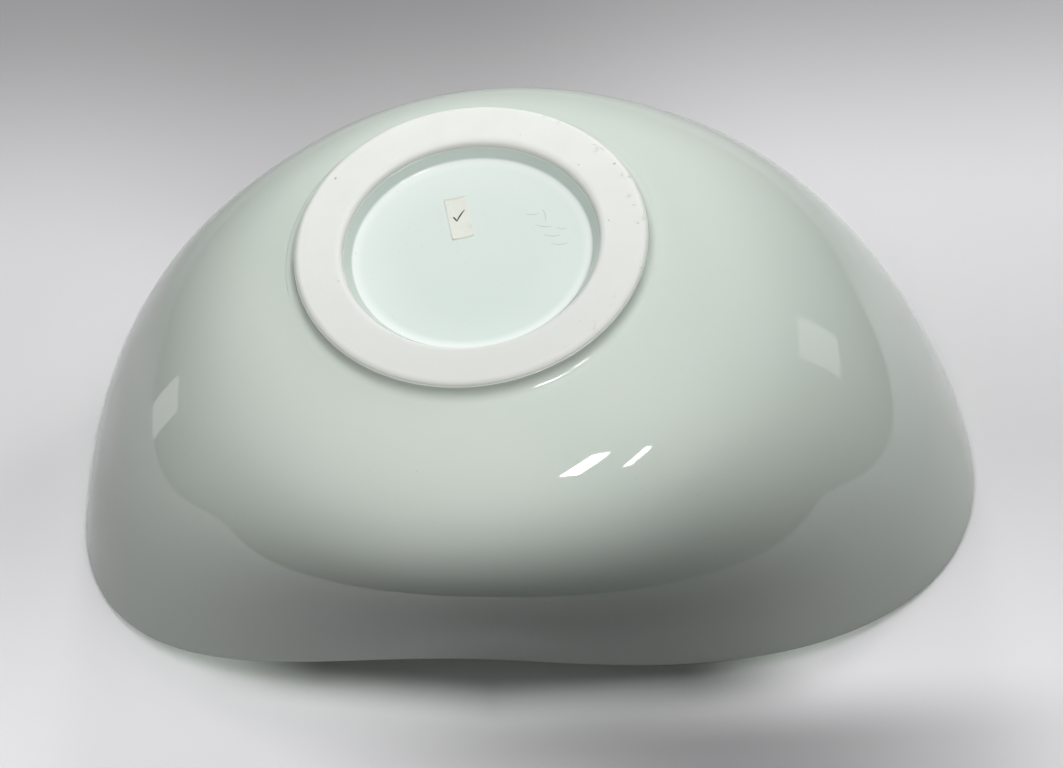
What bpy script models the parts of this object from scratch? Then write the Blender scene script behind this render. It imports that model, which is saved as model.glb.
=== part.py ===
"""Free-form oval porcelain serving bowl on a turned foot ring.

The bowl stands upright on z = 0 with +Z out of its mouth and its long axis along X. The origin
is under the centre of its box. Three pieces: the glazed shell, the broad unglazed foot ring
luted under it, and a small paper sticker in the foot's well. Sizes are in metres.
"""
import math

import bmesh
import bpy

MM = 0.001

# --- Driving dimensions: foot ring ---
FOOT_RADIUS = 60 * MM           # outer wall of the foot
FACE_OUTER = 58.3 * MM          # resting face, outside edge
FACE_INNER = 46.2 * MM          # resting face, inside edge
WELL_MOUTH = 43.5 * MM          # well wall just above the rounded inside edge
WELL_TOP = 41.2 * MM            # well wall where it meets the shell
FOOT_HEIGHT = 6 * MM            # resting face to the underside of the shell
EDGE_BEVEL = 1.0 * MM           # height of the bevel on the outside edge
COVE_START = 3.2 * MM           # height at which the outer wall starts to cove outwards
COVE_REACH = 1.4 * MM           # how far the cove spreads at the shell
SEAM = 0.3 * MM                 # clearance between neighbouring pieces

# --- Driving dimensions: shell ---
WALL = 4.5 * MM                 # thickness of the shell
LIP_ROUNDING = 1.9 * MM         # rounding on both edges of the lip
SHELL_START = 61.8 * MM         # radius at which the wall leaves the flat underside
RIM_HALF_LENGTH = 154 * MM
RIM_HALF_WIDTH = 110 * MM
RIM_SQUARENESS = 2.47           # 2 is an ellipse, more is squarer
RIM_EGG = -0.086                # fuller at the -X end
RIM_THREE_LOBES = -0.043
RIM_FOUR_LOBES = 0.012
RIM_SHIFT = (7.4 * MM, 2.7 * MM)    # centre of the rim from the foot's axis
RIM_HEIGHT = 118 * MM           # mean height of the lip
RIM_SLOPE = (-0.0855, 0.103)    # the lip rises towards -X and towards +Y
RIM_WAVES = (                   # waves round the lip: count, height, bearing of a crest
    (2, 4.1 * MM, math.radians(24.4)),
    (3, 8.5 * MM, math.radians(-27.3)),
    (4, 3.8 * MM, math.radians(-4.2)),
)
WALL_SWEEP = math.radians(61.2)     # how far round its curve the wall has turned at the lip
WALL_FULLNESS = 0.044
FRONT_FULLNESS = 2.6            # how much fuller the wall is on the -Y side, where it turns in
FRONT_NARROWNESS = 8            # the higher this is, the less of the wall is that full

# --- Driving dimensions: sticker ---
STICKER_SIZE = (7.6 * MM, 18 * MM, 0.2 * MM)
STICKER_PLACE = (3 * MM, 15.9 * MM)     # its centre from the foot's axis
STICKER_TURN = math.radians(-4.3)

# --- Mesh density ---
ROUND_STEPS = 96
WALL_STEPS = 16
FLOOR_RINGS = 3
ARC_STEPS = 5


def rim_radius(bearing):
    """Distance of the lip from the rim's own centre, seen from above."""
    along = abs(math.cos(bearing) / RIM_HALF_LENGTH) ** RIM_SQUARENESS
    across = abs(math.sin(bearing) / RIM_HALF_WIDTH) ** RIM_SQUARENESS
    shape = 1 + RIM_EGG * math.cos(bearing) + RIM_THREE_LOBES * math.sin(3 * bearing)
    shape += RIM_FOUR_LOBES * math.cos(4 * bearing)
    return shape * (along + across) ** (-1 / RIM_SQUARENESS)


def rim_point(bearing):
    """A point of the wavy outer lip, measured from the foot's axis."""
    x = RIM_SHIFT[0] + rim_radius(bearing) * math.cos(bearing)
    y = RIM_SHIFT[1] + rim_radius(bearing) * math.sin(bearing)
    z = RIM_HEIGHT + RIM_SLOPE[0] * x + RIM_SLOPE[1] * y
    for count, height, crest in RIM_WAVES:
        z += height * math.cos(count * (bearing - crest))
    return x, y, z


def wall_point(bearing, along):
    """A point of the shell's outer face: along is 0 at the foot and 1 at the lip."""
    rim_x, rim_y, rim_z = rim_point(bearing)
    spoke = math.atan2(rim_y, rim_x)
    start_x = SHELL_START * math.cos(spoke)
    start_y = SHELL_START * math.sin(spoke)
    fullness = WALL_FULLNESS + FRONT_FULLNESS * ((1 - math.sin(bearing)) / 2) ** FRONT_NARROWNESS
    turned = along * WALL_SWEEP
    outward = math.sin(turned) / math.sin(WALL_SWEEP)
    outward += fullness * outward * (1 - outward)
    upward = (1 - math.cos(turned)) / (1 - math.cos(WALL_SWEEP))
    x = start_x + (rim_x - start_x) * outward
    y = start_y + (rim_y - start_y) * outward
    z = FOOT_HEIGHT + (rim_z - FOOT_HEIGHT) * upward
    return x, y, z


def bearings():
    return [2 * math.pi * step / ROUND_STEPS for step in range(ROUND_STEPS)]


def shell_rings():
    """Rings of the outer face, from the middle of the underside out to the lip."""
    rings = []
    for step in range(1, FLOOR_RINGS + 1):
        ring = []
        for bearing in bearings():
            x, y, z = wall_point(bearing, 0)
            inward = step / (FLOOR_RINGS + 1)
            ring.append((x * inward, y * inward, z))
        rings.append(ring)
    for step in range(WALL_STEPS + 1):
        rings.append([wall_point(bearing, step / WALL_STEPS) for bearing in bearings()])
    return rings


def foot_centre():
    """Where the foot's axis stands when the centre of the bowl's box is the origin."""
    wall = [point for ring in shell_rings() for point in ring]
    middle_x = (min(p[0] for p in wall) + max(p[0] for p in wall)) / 2
    middle_y = (min(p[1] for p in wall) + max(p[1] for p in wall)) / 2
    return -middle_x, -middle_y, 0.0


def clear_scene():
    for obj in list(bpy.data.objects):
        bpy.data.objects.remove(obj, do_unlink=True)


def new_collection(name):
    collection = bpy.data.collections.new(name)
    bpy.context.scene.collection.children.link(collection)
    return collection


def new_material(name, colour, roughness):
    material = bpy.data.materials.new(name)
    material.use_nodes = True
    shader = material.node_tree.nodes["Principled BSDF"]
    shader.inputs["Base Color"].default_value = (*colour, 1)
    shader.inputs["Roughness"].default_value = roughness
    shader.inputs["Metallic"].default_value = 0
    material.diffuse_color = (*colour, 1)
    return material


def new_object(name, bm, collection, material, location):
    mesh = bpy.data.meshes.new(name)
    bm.to_mesh(mesh)
    bm.free()
    mesh.materials.append(material)
    obj = bpy.data.objects.new(name, mesh)
    obj.location = location
    collection.objects.link(obj)
    return obj


def shade_round(obj, sharp_from=math.radians(40)):
    obj.data.shade_smooth()
    obj.data.set_sharp_from_angle(angle=sharp_from)


def make_shell(collection, centre):
    """A loft from the round foot to the wavy oval lip, thickened inwards."""
    bm = bmesh.new()
    rings = [[bm.verts.new(point) for point in ring] for ring in shell_rings()]
    hub = bm.verts.new((0, 0, FOOT_HEIGHT))
    for step in range(ROUND_STEPS):
        after = (step + 1) % ROUND_STEPS
        bm.faces.new((hub, rings[0][after], rings[0][step]))
        for inner, outer in zip(rings, rings[1:]):
            bm.faces.new((inner[step], inner[after], outer[after], outer[step]))
    glaze = new_material("celadon_glaze", (0.72, 0.79, 0.74), 0.08)
    shell = new_object("bowl_shell", bm, collection, glaze, centre)
    thicken = shell.modifiers.new("wall", 'SOLIDIFY')
    thicken.thickness = WALL
    thicken.offset = -1
    lip = shell.modifiers.new("lip", 'BEVEL')
    lip.width = LIP_ROUNDING
    lip.segments = 3
    lip.limit_method = 'ANGLE'
    lip.angle_limit = math.radians(60)
    shade_round(shell)
    return shell


def arc(centre, radius, start, end):
    """Points (r, z) on an arc, both ends included; angles in degrees."""
    points = []
    for step in range(ARC_STEPS + 1):
        angle = math.radians(start + (end - start) * step / ARC_STEPS)
        points.append((centre[0] + radius * math.cos(angle), centre[1] + radius * math.sin(angle)))
    return points


def foot_profile():
    """Section of the ring, down its outer side, in across the face and up the well wall."""
    top = FOOT_HEIGHT - SEAM
    cove_height = top - COVE_START
    profile = []
    for step in range(ARC_STEPS + 1):
        turned = math.pi / 2 * step / ARC_STEPS
        reach = COVE_REACH * (1 - math.sin(turned))
        profile.append((FOOT_RADIUS + reach, COVE_START + cove_height * math.cos(turned)))
    profile.append((FOOT_RADIUS, EDGE_BEVEL))
    profile.append((FACE_OUTER, 0.0))
    rounding = FACE_INNER - WELL_MOUTH
    profile += arc((FACE_INNER, rounding), rounding, -90, -180)
    profile.append((WELL_TOP, top))
    return profile


def make_foot(collection, centre):
    """The turned foot ring: its section screwed round the foot's axis."""
    bm = bmesh.new()
    corners = [bm.verts.new((r, 0, z)) for r, z in foot_profile()]
    for start, end in zip(corners, corners[1:] + corners[:1]):
        bm.edges.new((start, end))
    bisque = new_material("unglazed_porcelain", (0.86, 0.87, 0.84), 0.75)
    foot = new_object("foot_ring", bm, collection, bisque, centre)
    turn = foot.modifiers.new("turn", 'SCREW')
    turn.steps = ROUND_STEPS
    turn.render_steps = ROUND_STEPS
    turn.use_merge_vertices = True
    turn.merge_threshold = 0.00001
    turn.use_smooth_shade = True
    shade_round(foot)
    return foot


def make_sticker(collection, centre):
    """The paper sticker, lying against the roof of the foot's well."""
    bm = bmesh.new()
    bmesh.ops.create_cube(bm, size=1)
    bmesh.ops.scale(bm, vec=STICKER_SIZE, verts=bm.verts)
    paper = new_material("sticker_paper", (0.80, 0.80, 0.72), 0.85)
    height = FOOT_HEIGHT - SEAM - STICKER_SIZE[2] / 2
    place = (centre[0] + STICKER_PLACE[0], centre[1] + STICKER_PLACE[1], height)
    sticker = new_object("lot_sticker", bm, collection, paper, place)
    sticker.rotation_euler[2] = STICKER_TURN
    return sticker


def main():
    clear_scene()
    collection = new_collection("porcelain_serving_bowl")
    centre = foot_centre()
    make_shell(collection, centre)
    make_foot(collection, centre)
    make_sticker(collection, centre)


main()
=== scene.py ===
import math

import bmesh
import bpy
import numpy as np
from mathutils import Matrix, Quaternion, Vector


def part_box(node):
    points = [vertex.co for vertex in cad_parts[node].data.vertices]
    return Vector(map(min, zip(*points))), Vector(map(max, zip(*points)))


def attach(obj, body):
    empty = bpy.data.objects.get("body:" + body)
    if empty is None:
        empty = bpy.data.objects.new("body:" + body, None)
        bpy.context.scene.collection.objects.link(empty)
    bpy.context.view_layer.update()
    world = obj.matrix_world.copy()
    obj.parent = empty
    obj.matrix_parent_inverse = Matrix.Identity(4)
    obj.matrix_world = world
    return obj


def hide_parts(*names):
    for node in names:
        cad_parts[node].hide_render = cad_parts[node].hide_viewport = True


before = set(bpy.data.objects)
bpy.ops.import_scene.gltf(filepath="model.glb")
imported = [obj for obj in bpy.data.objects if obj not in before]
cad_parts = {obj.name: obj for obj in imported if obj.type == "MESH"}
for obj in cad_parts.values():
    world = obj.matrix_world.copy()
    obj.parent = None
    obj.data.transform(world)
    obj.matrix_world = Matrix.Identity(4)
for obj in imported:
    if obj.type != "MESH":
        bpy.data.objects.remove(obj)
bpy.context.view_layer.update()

# A free-form oval porcelain serving bowl: a glazed shell, a broad unglazed foot ring whose walls
# are glazed, a paper sticker with a pen tick, and a few strokes incised in the foot's well.
#
# The bowl stands upright on z = 0. The photograph shows it lying on its lip, so the main camera
# looks up at it from below the floor, rolled half over. The floor shows only from above, and a
# second pale sheet, which lies against the lip, shows only from below. The lamps under the floor
# make the photograph's light. The lamp above the bowl lights its inside and the floor, for the
# upright views.

MM = 0.001

# --- Places from the frame ---
foot_low, foot_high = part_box("foot_ring")
sticker_low, sticker_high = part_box("lot_sticker")
FOOT = Vector(((foot_low.x + foot_high.x) / 2, (foot_low.y + foot_high.y) / 2, 0))
STICKER = (sticker_low + sticker_high) / 2

# --- Shell: the same lip and wall that the CAD shell is lofted from ---
WALL = 4.5 * MM
LIP_WALL = 3.9 * MM             # the wall thins to this at the lip
THINNING_START = 0.8            # share of the wall's height at which it starts to thin
FOOT_HEIGHT = 6 * MM
SHELL_START = 61.8 * MM
RIM_HALF_LENGTH = 154 * MM
RIM_HALF_WIDTH = 110 * MM
RIM_SQUARENESS = 2.47
RIM_EGG = -0.086
RIM_THREE_LOBES = -0.043
RIM_FOUR_LOBES = 0.012
RIM_SHIFT = (7.4 * MM, 2.7 * MM)
RIM_HEIGHT = 118 * MM
RIM_SLOPE = (-0.0855, 0.103)
RIM_WAVES = (
    (2, 4.1 * MM, math.radians(24.4)),
    (3, 8.5 * MM, math.radians(-27.3)),
    (4, 3.8 * MM, math.radians(-4.2)),
)
WALL_SWEEP = math.radians(61.2)
WALL_FULLNESS = 0.044
FRONT_FULLNESS = 2.6
FRONT_NARROWNESS = 8
AROUND = 288
WALL_ROWS = 72
FLOOR_ROWS = 10
LIP_ROWS = 12

# --- Foot ring, as radius and height ---
FOOT_RADIUS = 60 * MM
FACE_OUTER = 58.3 * MM
FACE_INNER = 46.2 * MM
WELL_MOUTH = 43.5 * MM
EDGE_BEVEL = 1.0 * MM
GLAZE = 0.28 * MM               # thickness of the glaze skins
SKIN_OVERLAP = 0.1 * MM         # how far the glaze skins reach into the clay
SKIN_TOP = 0.3 * MM             # how far they reach into the shell
GLAZE_LINE = 1.25 * MM          # height at which the outer glaze stops short of the face
COVE = 3.3 * MM                 # radius of the glazed cove under the shell
WELL_FOOT = (41.5 * MM, 4.9 * MM)   # where the well's wall turns into its fillet
FILLET_END = 39.4 * MM          # where the fillet has run out on the well's floor
FACE_STEP = 0.3 * MM            # spacing of the turned face's points
TURNING_DEPTH = 0.012 * MM      # height of the turning lines on the face
TURNING_PITCH = 0.42 * MM       # spacing of the finer lines in its material

# --- Sticker, its pen tick and the incised strokes ---
STICKER_SIZE = (7.6 * MM, 18 * MM)
STICKER_TURN = math.radians(-4.3)
STICKER_THICKNESS = 0.13 * MM
STICKER_CORNER = 0.5 * MM
STICKER_LIFT = 0.35 * MM        # how far its corners have curled away
STROKE_STEPS = 14
PEN_WIDTH = 0.55 * MM
PEN_HEIGHT = 0.02 * MM
PEN_TICK = (                    # two strokes on the sticker, from its centre, in mm
    ((1.9, 0.9), (1.3, 0.2), (0.9, -1.3)),
    ((0.9, -1.3), (-0.6, 1.2), (-2.5, 3.0)),
)
INCISED_WIDTH = 0.3 * MM
INCISED_HEIGHT = 0.03 * MM
INCISED = (                     # start, bend and end of each stroke, from the foot's axis, in mm
    ((-19.5, 13.6), (-22.0, 12.2), (-24.6, 13.2)),
    ((-25.6, 14.6), (-26.6, 11.8), (-26.0, 9.2)),
    ((-22.4, 8.4), (-25.0, 6.4), (-28.2, 6.6)),
    ((-24.8, 3.6), (-27.6, 1.6), (-30.6, 2.4)),
    ((-29.4, 6.0), (-31.2, 4.2), (-32.8, 4.8)),
    ((-27.0, -0.8), (-29.6, -2.4), (-32.6, -1.4)),
)

# --- Main camera, at the photograph's viewing angle ---
CAMERA_AZIMUTH = math.radians(-1.9)
CAMERA_ELEVATION = math.radians(-52.56)
CAMERA_ROLL = math.radians(170.2)
CAMERA_DISTANCE = 1.8008
CAMERA_AIM = FOOT + Vector((-0.01355, -0.03882, 0.0320))
LENS = 180.85
SENSOR = 36

# --- Stage. Places on the sheet are right and away, as the photograph has them ---
FLOOR_REACH = 60
FLOOR_DROP = -0.1 * MM
FLOOR_COLOUR = (0.80, 0.80, 0.80)
FLOOR_SHADE_INNER = 60 * MM     # the shade under the bowl is full within this radius
FLOOR_SHADE_OUTER = 175 * MM    # and ends at this one
FLOOR_SHADE_DEPTH = 0.93
FLOOR_FADE_START = 0.5          # the floor fades into the backdrop between these radii
FLOOR_FADE_END = 2.2
SHEET_CLEARANCE = 0.1 * MM
SHEET_CORNERS = ((-0.46, -0.160), (0.36, -0.128), (0.36, 1.2), (-0.46, 1.2))
SHEET_COLOUR = (0.96, 0.95, 0.975)
SHEET_BOUNCE = 0.3              # share of the sheet's light that reaches matt surfaces
BACKDROP_TONE = 0.80            # what the camera sees of the room
CEILING_TONE = 0.40             # what the glaze reflects from above, from the front and elsewhere
FRONT_TONE = 0.55
SIDE_TONE = 0.04

# --- Lamps. Those under the floor stand around the middle of the bowl as it lies on the sheet:
# name, azimuth from away towards the right, elevation, size and watts. The soft lamps don't show in
# the glaze. The seen lamps do, and light nothing else ---
LAMP_DISTANCE = 1.5
LAMP_CENTRE_HEIGHT = 0.07
SOFT_LAMPS = (
    ("overhead_soft", 0, 90, (0.75, 0.75), 7.6),
    ("front_soft", 180, 60, (0.75, 0.75), 8.5),
    ("back_soft", 0, 62, (0.75, 0.75), 1.2),
    ("back_right_soft", 60, 38, (0.75, 0.75), 4.6),
    ("back_low_soft", 0, 15, (0.28, 0.28), 5.4),
    ("low_right_soft", 45, 15, (0.24, 0.24), 3.0),
    ("front_left_soft", 240, 62, (0.75, 0.75), 2.6),
)
SEEN_LAMPS = (
    ("bright_window", 143, 72, (0.24, 0.14), 5.0),
    ("bright_gap", 126, 57, (0.20, 0.07), 2.0),
    ("right_pane", 70, 11, (0.30, 0.42), 0.5),
    ("left_pane", -66, -4, (0.22, 0.40), 0.4),
)
OVERHEAD_PLACE = Vector((0.1, 0.75, 1.35))
OVERHEAD_TARGET = Vector((0, 0, 0.05))
OVERHEAD_SIZE = (1.1, 0.7)
OVERHEAD_POWER = 26


def rim_points(bearings):
    """Points of the wavy outer lip, measured from the foot's axis."""
    along = np.abs(np.cos(bearings) / RIM_HALF_LENGTH) ** RIM_SQUARENESS
    across = np.abs(np.sin(bearings) / RIM_HALF_WIDTH) ** RIM_SQUARENESS
    shape = 1 + RIM_EGG * np.cos(bearings) + RIM_THREE_LOBES * np.sin(3 * bearings)
    shape += RIM_FOUR_LOBES * np.cos(4 * bearings)
    radius = shape * (along + across) ** (-1 / RIM_SQUARENESS)
    x = RIM_SHIFT[0] + radius * np.cos(bearings)
    y = RIM_SHIFT[1] + radius * np.sin(bearings)
    z = RIM_HEIGHT + RIM_SLOPE[0] * x + RIM_SLOPE[1] * y
    for count, height, crest in RIM_WAVES:
        z = z + height * np.cos(count * (bearings - crest))
    return np.stack([x, y, z], -1)


def wall_points(bearings, along):
    """Points of the shell's outer face: along is 0 at the foot and 1 at the lip."""
    rim = rim_points(bearings)
    spoke = np.arctan2(rim[:, 1], rim[:, 0])
    start_x = SHELL_START * np.cos(spoke)
    start_y = SHELL_START * np.sin(spoke)
    frontness = ((1 - np.sin(bearings)) / 2) ** FRONT_NARROWNESS
    turned = along * WALL_SWEEP
    outward = np.sin(turned) / math.sin(WALL_SWEEP)
    outward = outward + (WALL_FULLNESS + FRONT_FULLNESS * frontness) * outward * (1 - outward)
    upward = (1 - np.cos(turned)) / (1 - math.cos(WALL_SWEEP))
    x = start_x + (rim[:, 0] - start_x) * outward
    y = start_y + (rim[:, 1] - start_y) * outward
    z = FOOT_HEIGHT + (rim[:, 2] - FOOT_HEIGHT) * upward
    return np.stack([x, y, z], -1)


def unit(vectors):
    return vectors / np.linalg.norm(vectors, axis=-1, keepdims=True)


def wall_frame(bearings, along):
    """Where the outer face is, which way it climbs, and which way it faces."""
    step = 1e-4
    climb = wall_points(bearings, along + step) - wall_points(bearings, along - step)
    turn = wall_points(bearings + step, along) - wall_points(bearings - step, along)
    return wall_points(bearings, along), climb / (2 * step), unit(np.cross(turn, climb))


def smooth_step(value):
    value = np.clip(value, 0, 1)
    return value * value * (3 - 2 * value)


def wall_thickness(along):
    thinned = smooth_step((along - THINNING_START) / (1 - THINNING_START))
    return WALL + (LIP_WALL - WALL) * thinned


# --- Mesh helpers ---
def ring_mesh(name, rings, looped=False):
    """A closed mesh through rings of points: each end is fanned shut, or the ends are joined."""
    rings = np.asarray(rings, float)
    around = rings.shape[1]
    bm = bmesh.new()
    grid = [[bm.verts.new(point) for point in ring] for ring in rings]
    pairs = list(zip(grid, grid[1:]))
    if looped:
        pairs.append((grid[-1], grid[0]))
    for lower, upper in pairs:
        for step in range(around):
            after = (step + 1) % around
            bm.faces.new((lower[step], lower[after], upper[after], upper[step]))
    if not looped:
        for ring in (grid[0], grid[-1]):
            hub = bm.verts.new(sum((v.co for v in ring), Vector()) / around)
            for step in range(around):
                bm.faces.new((ring[step], ring[(step + 1) % around], hub))
    bmesh.ops.recalc_face_normals(bm, faces=bm.faces)
    mesh = bpy.data.meshes.new(name)
    bm.to_mesh(mesh)
    bm.free()
    mesh.shade_smooth()
    obj = bpy.data.objects.new(name, mesh)
    bpy.context.scene.collection.objects.link(obj)
    return obj


def full_turn(count):
    return 2 * math.pi * np.arange(count) / count


def turned_mesh(name, profile):
    """A closed section of (radius, height) points turned about the foot's axis."""
    bearings = full_turn(AROUND)
    rings = []
    for radius, height in profile:
        x = FOOT.x + radius * np.cos(bearings)
        y = FOOT.y + radius * np.sin(bearings)
        rings.append(np.stack([x, y, 0 * bearings + height], -1))
    return ring_mesh(name, rings, looped=True)


def arc(centre, radius, start, end, steps):
    """Points (r, z) on an arc, both ends included; angles in degrees."""
    angles = np.radians(np.linspace(start, end, steps + 1))
    return [(centre[0] + radius * math.cos(a), centre[1] + radius * math.sin(a)) for a in angles]


def curve_through(start, bend, end, steps):
    """Points of a quadratic curve from start to end, pulled towards bend."""
    start, bend, end = (np.asarray(point, float) for point in (start, bend, end))
    shares = np.linspace(0, 1, steps + 1)[:, None]
    return (1 - shares) ** 2 * start + 2 * shares * (1 - shares) * bend + shares ** 2 * end


def profile_curve(start, bend, end, steps):
    """The same for a section: a list of (radius, height) points."""
    return [tuple(point) for point in curve_through(start, bend, end, steps)]


# --- The bowl's pieces ---
def make_body():
    """The glazed shell: underside, outer wall, rounded lip, inner wall and floor in one skin."""
    bearings = full_turn(AROUND)
    _, climb, _ = wall_frame(bearings, np.ones(AROUND))
    last = 1 - LIP_WALL / 2 / np.linalg.norm(climb, axis=-1)
    outer_rows, inner_rows = [], []
    for share in np.linspace(0, 1, WALL_ROWS + 1):
        along = share * last
        point, climb, facing = wall_frame(bearings, along)
        outer_rows.append(point)
        inner_rows.append(point - wall_thickness(share) * facing)
    point, climb, facing = wall_frame(bearings, last)
    lip_middle = point - LIP_WALL / 2 * facing
    lip_rows = []
    for angle in np.linspace(0, math.pi, LIP_ROWS + 1)[1:-1]:
        towards = math.cos(angle) * facing + math.sin(angle) * unit(climb)
        lip_rows.append(lip_middle + LIP_WALL / 2 * towards)
    shares = np.linspace(0, 1, FLOOR_ROWS + 1)[1:-1]
    under_rows = [outer_rows[0] * (share, share, 1) for share in shares]
    floor_rows = [inner_rows[0] * (share, share, 1) for share in shares[::-1]]
    rows = np.array(under_rows + outer_rows + lip_rows + inner_rows[::-1] + floor_rows)
    return ring_mesh("glazed_body", rows + np.array(FOOT))


def turning_height(radius):
    """Fine uneven turning lines left on the foot's face."""
    lines = math.sin(radius / MM * 7.3) + 0.7 * math.sin(radius / MM * 3.1 + 1.1)
    return TURNING_DEPTH * (0.5 + lines / 3.4)


def make_foot():
    """The bare turned ring: bevelled outside edge, flat face with turning lines, round inside."""
    radii = np.arange(FACE_INNER + FACE_STEP, FACE_OUTER - FACE_STEP / 2, FACE_STEP)[::-1]
    rounding = FACE_INNER - WELL_MOUTH
    heights = np.linspace(FOOT_HEIGHT - MM, EDGE_BEVEL + 0.4 * MM, 4)
    edge_start = (FOOT_RADIUS, EDGE_BEVEL + 0.3 * MM)
    edge_bend = (FOOT_RADIUS - 0.3 * MM, 0.3 * MM)
    profile = [(FOOT_RADIUS, FOOT_HEIGHT)]
    profile += [(FOOT_RADIUS, height) for height in heights]
    profile += profile_curve(edge_start, edge_bend, (FACE_OUTER, 0), 6)
    profile += [(radius, turning_height(radius)) for radius in radii]
    profile += arc((FACE_INNER, rounding), rounding, -90, -180, 8)
    profile += [(WELL_MOUTH, FOOT_HEIGHT)]
    return turned_mesh("foot_ring_turned", profile)


def make_outer_glaze():
    """The glaze on the foot's outer wall, thick at its edge, sweeping out under the shell."""
    skin = FOOT_RADIUS + GLAZE
    buried = FOOT_RADIUS - SKIN_OVERLAP
    bottom = GLAZE_LINE - SKIN_OVERLAP
    profile = [(buried, bottom)]
    profile += profile_curve((FOOT_RADIUS, bottom), (skin, bottom), (skin, GLAZE_LINE + GLAZE), 5)
    profile += arc((skin + COVE, FOOT_HEIGHT - COVE + 0.03 * MM), COVE, 180, 90, 14)
    profile += [(skin + COVE, FOOT_HEIGHT + SKIN_TOP), (buried, FOOT_HEIGHT + SKIN_TOP)]
    return turned_mesh("foot_outer_glaze", profile)


def make_well_glaze():
    """The glaze on the well's wall, with the fillet that runs out on the well's floor."""
    skin = WELL_MOUTH - GLAZE
    buried = WELL_MOUTH + SKIN_OVERLAP
    start = FACE_INNER - WELL_MOUTH
    fillet_bend = (WELL_FOOT[0] - 0.5 * MM, FOOT_HEIGHT)
    profile = [(buried, start)]
    skin_end = (skin - 0.05 * MM, start + GLAZE)
    profile += profile_curve((WELL_MOUTH, start), (skin, start), skin_end, 5)
    profile.append((skin - 0.1 * MM, start + 0.4 * MM))
    profile += profile_curve(WELL_FOOT, fillet_bend, (FILLET_END, FOOT_HEIGHT + 0.01 * MM), 16)
    profile += [(FILLET_END, FOOT_HEIGHT + SKIN_TOP), (buried, FOOT_HEIGHT + SKIN_TOP)]
    return turned_mesh("foot_well_glaze", profile)


def sticker_outline(steps=7):
    """A rectangle with small round corners, once around."""
    half_x, half_y = (size / 2 - STICKER_CORNER for size in STICKER_SIZE)
    points = []
    for quarter, (sx, sy) in enumerate(((1, 1), (-1, 1), (-1, -1), (1, -1))):
        for angle in np.radians(np.linspace(0, 90, steps) + 90 * quarter):
            x = sx * half_x + STICKER_CORNER * math.cos(angle)
            y = sy * half_y + STICKER_CORNER * math.sin(angle)
            points.append((x, y))
    finer = []
    for (x0, y0), (x1, y1) in zip(points, points[1:] + points[:1]):
        pieces = max(1, round(math.hypot(x1 - x0, y1 - y0) / MM))
        finer += [(x0 + (x1 - x0) * k / pieces, y0 + (y1 - y0) * k / pieces) for k in range(pieces)]
    return np.array(finer)


def sticker_height(x, y):
    """How far the paper hangs below the well's floor: its corners have curled away."""
    reach = (2 * np.abs(y) / STICKER_SIZE[1]) ** 3 * (2 * np.abs(x) / STICKER_SIZE[0]) ** 2
    return FOOT_HEIGHT - 0.02 * MM - STICKER_LIFT * reach


def on_sticker(points):
    """Turns points (x, y) on the sticker, and its z, into the frame."""
    turn = Matrix.Rotation(STICKER_TURN, 3, 'Z')
    return np.array([Vector((STICKER.x, STICKER.y, 0)) + turn @ Vector(p) for p in points])


def make_sticker():
    outline = sticker_outline()
    rings = []
    for side in (0, 1):
        shares = (0.12, 0.3, 0.5, 0.7, 0.88, 1)
        for share in shares if side == 0 else shares[::-1]:
            x, y = (outline * share).T
            z = sticker_height(x, y) - side * STICKER_THICKNESS
            rings.append(on_sticker(np.stack([x, y, z], -1)))
    return ring_mesh("lot_sticker_paper", rings)


def stroke_rings(path, width, height):
    """Rings of a flat stroke along a path, tapered at both ends."""
    path = np.asarray(path, float)
    up = np.array((0, 0, 1))
    ahead = unit(np.gradient(path, axis=0))
    side = unit(np.cross(ahead, up))
    rings = []
    for share, point, across in zip(np.linspace(0, 1, len(path)), path, side):
        swell = math.sin(math.pi * (0.06 + 0.88 * share)) ** 0.5
        ring = []
        for angle in full_turn(8):
            sideways = width / 2 * swell * math.cos(angle) * across
            ring.append(point + sideways + height * swell * math.sin(angle) * up)
        rings.append(ring)
    return rings


def joined(name, objects):
    """One object from several, which are removed."""
    bm = bmesh.new()
    for obj in objects:
        bm.from_mesh(obj.data)
        bpy.data.objects.remove(obj, do_unlink=True)
    mesh = bpy.data.meshes.new(name)
    bm.to_mesh(mesh)
    bm.free()
    mesh.shade_smooth()
    obj = bpy.data.objects.new(name, mesh)
    bpy.context.scene.collection.objects.link(obj)
    return obj


def make_pen_tick():
    """A plain tick in ink on the paper."""
    strokes = []
    for stroke in PEN_TICK:
        x, y = (curve_through(*stroke, STROKE_STEPS) * MM).T
        z = sticker_height(x, y) - STICKER_THICKNESS - 0.005 * MM
        path = on_sticker(np.stack([x, y, z], -1))
        strokes.append(ring_mesh("stroke", stroke_rings(path, PEN_WIDTH, PEN_HEIGHT)))
    return joined("pen_tick", strokes)


def make_incised():
    """A few shallow strokes cut in the clay of the well's floor, softened by the glaze."""
    strokes = []
    for stroke in INCISED:
        x, y = (curve_through(*stroke, STROKE_STEPS) * MM).T
        path = np.stack([FOOT.x + x, FOOT.y + y, 0 * x + FOOT_HEIGHT], -1)
        strokes.append(ring_mesh("stroke", stroke_rings(path, INCISED_WIDTH, INCISED_HEIGHT)))
    return joined("incised_strokes", strokes)


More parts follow.
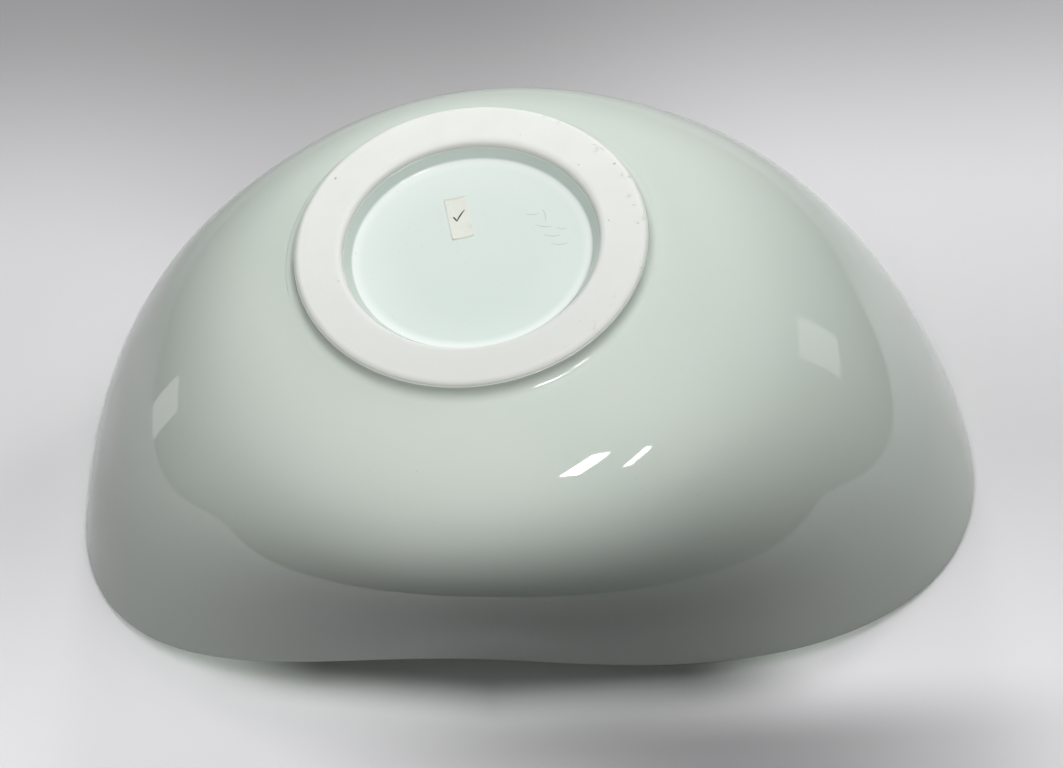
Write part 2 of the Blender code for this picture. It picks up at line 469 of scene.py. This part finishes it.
# --- Materials ---
class Nodes:
    """Adds nodes to a tree and links them."""

    def __init__(self, tree):
        self.tree = tree

    def add(self, kind, **settings):
        node = self.tree.nodes.new(kind)
        for key, value in settings.items():
            setattr(node, key, value)
        return node

    def feed(self, socket, value):
        if isinstance(value, bpy.types.NodeSocket):
            self.tree.links.new(value, socket)
        else:
            socket.default_value = value

    def math(self, operation, first, second=0.0):
        node = self.add('ShaderNodeMath', operation=operation)
        self.feed(node.inputs[0], first)
        self.feed(node.inputs[1], second)
        return node.outputs[0]

    def dot(self, vector, direction):
        node = self.add('ShaderNodeVectorMath', operation='DOT_PRODUCT')
        self.feed(node.inputs[0], vector)
        self.feed(node.inputs[1], tuple(direction))
        return node.outputs["Value"]

    def product(self, first, *others):
        for other in others:
            first = self.math('MULTIPLY', first, other)
        return first

    def rest(self, share):
        """What is left of 1 when share is taken away."""
        return self.math('SUBTRACT', 1.0, share)

    def distance(self, value, middle):
        return self.math('ABSOLUTE', self.math('SUBTRACT', value, middle))

    def span(self, value, low, high, to_low=0.0, to_high=1.0, smooth=True):
        """Maps value from low..high to to_low..to_high, held at both ends."""
        steps = 'SMOOTHSTEP' if smooth else 'LINEAR'
        node = self.add('ShaderNodeMapRange', interpolation_type=steps)
        for socket, number in zip(node.inputs, (value, low, high, to_low, to_high)):
            self.feed(socket, number)
        return node.outputs["Result"]

    def mix(self, share, first, second):
        node = self.add('ShaderNodeMix', data_type='RGBA')
        self.feed(node.inputs["Factor"], share)
        for socket, colour in ((node.inputs["A"], first), (node.inputs["B"], second)):
            self.feed(socket, colour if isinstance(colour, bpy.types.NodeSocket) else (*colour, 1))
        return node.outputs["Result"]


class Surface(Nodes):
    """A new material's nodes: its shader, its output and the shaded point's place."""

    def __init__(self, name):
        self.material = bpy.data.materials.new(name)
        self.material.use_nodes = True
        super().__init__(self.material.node_tree)
        self.shader = self.tree.nodes["Principled BSDF"]
        self.output = self.tree.nodes["Material Output"]
        self.place = self.add('ShaderNodeTexCoord').outputs["Object"]

    def set(self, name, value):
        """Sets one of the shader's sockets, or links a node to it."""
        self.feed(self.shader.inputs[name], value)

    def noise(self, scale, detail=3.0, roughness=0.5):
        node = self.add('ShaderNodeTexNoise')
        self.feed(node.inputs["Vector"], self.place)
        self.feed(node.inputs["Scale"], scale)
        self.feed(node.inputs["Detail"], detail)
        self.feed(node.inputs["Roughness"], roughness)
        return node.outputs["Fac"]

    def bump(self, height, distance, strength=1.0, normal=None):
        node = self.add('ShaderNodeBump')
        self.feed(node.inputs["Height"], height)
        self.feed(node.inputs["Distance"], distance)
        self.feed(node.inputs["Strength"], strength)
        if normal:
            self.feed(node.inputs["Normal"], normal)
        return node.outputs["Normal"]

    def from_foot(self):
        """Of the shaded point: distance from the foot's axis, height, and x and y from the axis."""
        split = self.add('ShaderNodeSeparateXYZ')
        self.feed(split.inputs[0], self.place)
        x = self.math('SUBTRACT', split.outputs[0], FOOT.x)
        y = self.math('SUBTRACT', split.outputs[1], FOOT.y)
        squares = self.math('ADD', self.product(x, x), self.product(y, y))
        return self.math('SQRT', squares), split.outputs[2], x, y


def celadon_material():
    """Clear pale blue-green glaze: greener where it has pooled, with a faint uneven surface, and
    painted light and shade in the foot's well.
    """
    m = Surface("celadon_glaze")
    radius, height, _, y = m.from_foot()
    cloud = m.span(m.noise(9.0, 2.0), 0.35, 0.65)
    colour = m.mix(cloud, (0.63, 0.70, 0.635), (0.66, 0.72, 0.66))
    under = m.span(height, 6.05 * MM, 6.4 * MM, 1.0, 0.0)
    inside_ring = m.product(under, m.span(radius, 44 * MM, 45 * MM, 1.0, 0.0))
    # The well's floor, from the middle to its side, with painted light and shade across it, then
    # its bright rim and its darker wall, both partly painted light and shade.
    floor = m.mix(m.span(radius, 20 * MM, 36 * MM), (0.74, 0.84, 0.785), (0.775, 0.865, 0.815))
    # Painted light towards +y and painted shade towards -y, across the well's floor.
    floor = m.mix(m.span(y, -10 * MM, 36 * MM, 0.0, 0.55), floor, (0.86, 0.93, 0.89))
    floor = m.mix(m.span(y, 0.0, -36 * MM, 0.0, 0.5), floor, (0.66, 0.76, 0.71))
    # The bright rim: thinner glaze at the fillet, and partly a painted highlight.
    floor = m.mix(m.span(radius, 36.5 * MM, 39.8 * MM), floor, (0.86, 0.92, 0.89))
    # The wall's darker tone: thicker glaze, and partly painted shade.
    floor = m.mix(m.span(radius, 40.5 * MM, 41.3 * MM), floor, (0.60, 0.69, 0.64))
    colour = m.mix(inside_ring, colour, floor)
    specks = m.span(m.noise(900.0, 1.0), 0.78, 0.82)
    colour = m.mix(m.product(specks, 0.25), colour, (0.25, 0.24, 0.2))
    broad = m.bump(m.noise(14.0, 1.0), 1.0 * MM, 0.25)
    fine = m.bump(m.noise(420.0, 2.0), 0.02 * MM, 0.25, broad)
    m.set("Base Color", colour)
    m.set("Roughness", 0.045)
    m.set("IOR", 1.5)
    m.set("Normal", fine)
    return m.material


def bisque_material():
    """Bare turned porcelain: matt, faintly lined, with specks and grey scuffs by its edge, painted
    shade towards -y, and painted shade on its bare edge above the face.
    """
    m = Surface("unglazed_porcelain")
    radius, height, x, y = m.from_foot()
    mottle = m.noise(60.0, 4.0, 0.6)
    colour = m.mix(m.span(mottle, 0.3, 0.7), (0.87, 0.89, 0.85), (0.90, 0.92, 0.88))
    # Painted shade: the ring is painted darker towards -y.
    painted_side_shade = m.span(y, 60 * MM, -60 * MM, 0.0, 0.85, smooth=False)
    colour = m.mix(painted_side_shade, colour, (0.70, 0.71, 0.68))
    # Painted shade on the bare rounded edge and bevel above the face.
    edge = m.span(height, 0.3 * MM, 1.5 * MM)
    colour = m.mix(m.product(edge, 0.5), colour, (0.62, 0.60, 0.55))
    scuff_zone = m.product(m.span(radius, 54 * MM, 57 * MM), m.span(x, -20 * MM, -40 * MM))
    scuffs = m.product(scuff_zone, m.span(m.noise(210.0, 5.0, 0.7), 0.56, 0.7))
    colour = m.mix(m.product(scuffs, 0.55), colour, (0.45, 0.45, 0.42))
    specks = m.span(m.noise(420.0, 0.0), 0.84, 0.86)
    colour = m.mix(m.product(specks, 0.5), colour, (0.25, 0.23, 0.2))
    lines = m.math('SINE', m.product(radius, 2 * math.pi / TURNING_PITCH))
    turned = m.bump(lines, 0.01 * MM, 0.3)
    grain = m.bump(m.noise(2200.0, 3.0), 0.02 * MM, 0.5, turned)
    m.set("Base Color", colour)
    m.set("Roughness", m.span(mottle, 0.3, 0.7, 0.62, 0.8))
    m.set("Normal", grain)
    return m.material


def paper_material():
    """Cream label paper with fibres, blotched a little darker."""
    m = Surface("sticker_paper")
    fibres = m.noise(1500.0, 6.0, 0.7)
    colour = m.mix(m.span(fibres, 0.3, 0.7), (0.79, 0.81, 0.735), (0.85, 0.87, 0.79))
    blotch = m.span(m.noise(160.0, 3.0), 0.45, 0.75)
    colour = m.mix(m.product(blotch, 0.3), colour, (0.70, 0.70, 0.60))
    m.set("Base Color", colour)
    m.set("Roughness", 0.8)
    m.set("Normal", m.bump(fibres, 0.03 * MM, 0.6))
    return m.material


def ink_material():
    """Black ink, dried unevenly."""
    m = Surface("pen_ink")
    patchy = m.noise(900.0, 2.0)
    m.set("Base Color", m.mix(patchy, (0.012, 0.012, 0.016), (0.04, 0.04, 0.05)))
    m.set("Roughness", m.span(patchy, 0.3, 0.7, 0.35, 0.6))
    return m.material


def incised_material():
    """Glaze lying darker in the cut strokes."""
    m = Surface("incised_glaze")
    patchy = m.noise(300.0, 2.0)
    m.set("Base Color", m.mix(patchy, (0.52, 0.61, 0.565), (0.66, 0.75, 0.70)))
    m.set("Roughness", 0.1)
    return m.material


def dress(obj, material, slot, *nodes):
    obj.data.materials.append(material)
    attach(obj, "root")
    if nodes:
        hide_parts(*nodes)


def build_bowl():
    glaze = celadon_material()
    dress(make_body(), glaze, "celadon_glaze", "bowl_shell")
    dress(make_foot(), bisque_material(), "unglazed_porcelain", "foot_ring")
    dress(make_outer_glaze(), glaze, "celadon_glaze")
    dress(make_well_glaze(), glaze, "celadon_glaze")
    dress(make_sticker(), paper_material(), "sticker_paper", "lot_sticker")
    dress(make_pen_tick(), ink_material(), "sticker_paper")
    dress(make_incised(), incised_material(), "celadon_glaze")


# --- Stage, lights and camera ---
def one_sided(m, colour):
    """Finishes a pale matt material that shows only on its front."""
    m.set("Base Color", colour)
    m.set("Roughness", 0.9)
    m.set("Specular IOR Level", 0.2)
    mixer = m.add('ShaderNodeMixShader')
    m.feed(mixer.inputs[0], m.add('ShaderNodeNewGeometry').outputs["Backfacing"])
    m.feed(mixer.inputs[1], m.shader.outputs[0])
    m.feed(mixer.inputs[2], m.add('ShaderNodeBsdfTransparent').outputs[0])
    m.feed(m.output.inputs[0], mixer.outputs[0])
    return m.material


def floor_material():
    """Pale paint that fades into the backdrop. It is darker under the bowl, where the lamps under
    the floor would take the shadow away."""
    m = Surface("floor_paint")
    radius, _, _, _ = m.from_foot()
    patchy = m.span(m.noise(3.0, 3.0), 0.3, 0.7)
    colour = m.mix(patchy, FLOOR_COLOUR, tuple(0.97 * c for c in FLOOR_COLOUR))
    shade = m.span(radius, FLOOR_SHADE_INNER, FLOOR_SHADE_OUTER, FLOOR_SHADE_DEPTH, 0.0)
    colour = m.mix(shade, colour, (0.02, 0.02, 0.02))
    far = m.span(radius, FLOOR_FADE_START, FLOOR_FADE_END)
    m.set("Emission Color", (BACKDROP_TONE, BACKDROP_TONE, BACKDROP_TONE, 1))
    m.set("Emission Strength", far)
    return one_sided(m, m.mix(far, colour, (0, 0, 0)))


def sheet_material():
    """Pale paper with the room's light and shade painted on it, palest at the near edge and on the
    left.
    """
    m = Surface("sheet_paper")
    split = m.add('ShaderNodeSeparateXYZ')
    m.feed(split.inputs[0], m.place)
    right, away = split.outputs[0], split.outputs[1]
    # Painted shade: it darkens far away, and a little behind the near edge.
    slanted = m.math('SUBTRACT', away, m.product(right, 0.04))
    far = m.span(slanted, 0.13, 0.29, 1.0, 0.48)
    beyond_edge = m.span(away, -0.11, 0.03, 1.0, 0.77)
    # A painted shade lies at the near edge, right of the middle.
    painted_near_shade = m.span(m.distance(right, 0.08), 0.0, 0.16, 0.64, 0.0)
    painted_near_shade = m.product(painted_near_shade, m.span(away, -0.12, -0.085, 1.0, 0.0))
    # A painted shadow lies under the bowl, from just in front of the lip, which curves back on the
    # left.
    left = m.math('MAXIMUM', m.product(right, -1.0), 0.0)
    from_lip = m.math('SUBTRACT', away, m.product(left, 0.18))
    under = m.span(m.distance(right, 0.005), 0.06, 0.11, 1.0, 0.0)
    under = m.product(under, m.span(from_lip, -0.106, -0.084, 0.0, 1.0))
    under = m.product(under, m.span(away, 0.04, 0.07, 0.85, 0.0))
    # Two weak painted shades lie behind the bowl, and in front on the right.
    behind = m.span(m.distance(right, -0.03), 0.02, 0.15, 0.2, 0.0)
    behind = m.product(behind, m.span(away, 0.10, 0.16, 0.0, 1.0))
    front_right = m.product(m.span(right, 0.0, 0.16, 0.0, 0.15), m.span(away, 0.0, 0.15, 1.0, 0.0))
    tone = m.product(far, beyond_edge)
    for shade in (painted_near_shade, under, behind, front_right):
        tone = m.product(tone, m.rest(shade))
    patchy = m.span(m.noise(3.0, 3.0), 0.3, 0.7, 1.0, 0.98)
    diffuse_ray = m.add('ShaderNodeLightPath').outputs["Is Diffuse Ray"]
    tone = m.product(tone, patchy, m.span(diffuse_ray, 0.0, 1.0, 1.0, SHEET_BOUNCE))
    return one_sided(m, m.mix(tone, (0, 0, 0), SHEET_COLOUR))


def make_stage_sheet(name, corners, material):
    mesh = bpy.data.meshes.new(name)
    mesh.from_pydata([tuple(corner) for corner in corners], [], [(0, 1, 2, 3)])
    mesh.materials.append(material)
    obj = bpy.data.objects.new(name, mesh)
    bpy.context.scene.collection.objects.link(obj)
    return obj


def make_floor():
    """The floor that the bowl stands on, for the upright views. Only the camera sees it, so that
    the lamps under it still reach the bowl."""
    signs = ((-1, -1), (1, -1), (1, 1), (-1, 1))
    corners = [(x * FLOOR_REACH, y * FLOOR_REACH, FLOOR_DROP) for x, y in signs]
    floor = make_stage_sheet("floor", corners, floor_material())
    floor.visible_diffuse = False
    floor.visible_glossy = False
    floor.visible_transmission = False
    floor.visible_shadow = False


class SheetPlace:
    """Directions and places as the photograph has them, on the sheet that the lip lies against."""

    def __init__(self, body):
        self.up = Vector((RIM_SLOPE[0], RIM_SLOPE[1], -1)).normalized()
        forward = (CAMERA_AIM - camera_place()).normalized()
        self.away = (forward - forward.dot(self.up) * self.up).normalized()
        self.right = self.away.cross(self.up)
        level = min(vertex.co.dot(self.up) for vertex in body.data.vertices) - SHEET_CLEARANCE
        self.origin = FOOT + (level - FOOT.dot(self.up)) * self.up

    def towards(self, azimuth, elevation):
        azimuth, elevation = math.radians(azimuth), math.radians(elevation)
        level = math.cos(elevation)
        flat = math.sin(azimuth) * self.right + math.cos(azimuth) * self.away
        return level * flat + math.sin(elevation) * self.up


def make_sheet(sheet):
    """The pale sheet under the lip, as the photograph has it. The overhead lamp shines through."""
    corners = [(right, away, 0) for right, away in SHEET_CORNERS]
    obj = make_stage_sheet("lip_sheet", corners, sheet_material())
    turned = Matrix((sheet.right, sheet.away, sheet.up)).transposed()
    obj.matrix_world = Matrix.Translation(sheet.origin) @ turned.to_4x4()
    obj.visible_shadow = False


def add_lamp(name, place, target, size, power):
    light = bpy.data.lights.new(name, 'AREA')
    light.shape = 'RECTANGLE'
    light.size, light.size_y = size
    light.energy = power
    lamp = bpy.data.objects.new(name, light)
    lamp.location = place
    lamp.rotation_mode = 'QUATERNION'
    lamp.rotation_quaternion = (target - place).to_track_quat('-Z', 'Y')
    bpy.context.scene.collection.objects.link(lamp)
    return lamp


def add_lights(sheet):
    middle = sheet.origin + LAMP_CENTRE_HEIGHT * sheet.up
    for name, azimuth, elevation, size, power in SOFT_LAMPS:
        place = middle + LAMP_DISTANCE * sheet.towards(azimuth, elevation)
        add_lamp(name, place, middle, size, power).visible_glossy = False
    for name, azimuth, elevation, size, power in SEEN_LAMPS:
        place = middle + LAMP_DISTANCE * sheet.towards(azimuth, elevation)
        add_lamp(name, place, middle, size, power).visible_diffuse = False
    add_lamp("overhead_lamp", OVERHEAD_PLACE, OVERHEAD_TARGET, OVERHEAD_SIZE, OVERHEAD_POWER)


def set_world(sheet):
    """The room: one even tone for the camera, and for the glaze a pale ceiling and front and dark
    sides. It doesn't light the matt surfaces."""
    world = bpy.data.worlds.new("room")
    world.use_nodes = True
    m = Nodes(world.node_tree)
    camera_ray = m.add('ShaderNodeLightPath').outputs["Is Camera Ray"]
    direction = m.add('ShaderNodeTexCoord').outputs["Generated"]
    low = m.span(m.dot(direction, sheet.away), -0.9, -0.5, FRONT_TONE, SIDE_TONE)
    high = m.span(m.dot(direction, sheet.up), 0.25, 0.6)
    reflected = m.math('ADD', m.product(high, CEILING_TONE), m.product(m.rest(high), low))
    reflected = m.product(reflected, m.rest(camera_ray))
    tone = m.math('ADD', reflected, m.product(camera_ray, BACKDROP_TONE))
    m.feed(m.tree.nodes["Background"].inputs["Color"], tone)
    bpy.context.scene.world = world
    world.cycles_visibility.diffuse = False
    bpy.context.scene.view_settings.view_transform = 'Standard'


def camera_place():
    level = math.cos(CAMERA_ELEVATION)
    x = math.sin(CAMERA_AZIMUTH) * level
    y = -math.cos(CAMERA_AZIMUTH) * level
    return CAMERA_AIM + CAMERA_DISTANCE * Vector((x, y, math.sin(CAMERA_ELEVATION)))


def add_camera():
    data = bpy.data.cameras.new("camera")
    data.lens = LENS
    data.sensor_width = SENSOR
    data.clip_end = 200
    camera = bpy.data.objects.new("camera", data)
    camera.location = camera_place()
    aimed = (CAMERA_AIM - camera.location).to_track_quat('-Z', 'Y')
    camera.rotation_mode = 'QUATERNION'
    camera.rotation_quaternion = aimed @ Quaternion((0, 0, 1), CAMERA_ROLL)
    bpy.context.scene.collection.objects.link(camera)
    bpy.context.scene.camera = camera


add_camera()
build_bowl()
make_floor()
sheet = SheetPlace(bpy.data.objects["glazed_body"])
make_sheet(sheet)
add_lights(sheet)
set_world(sheet)
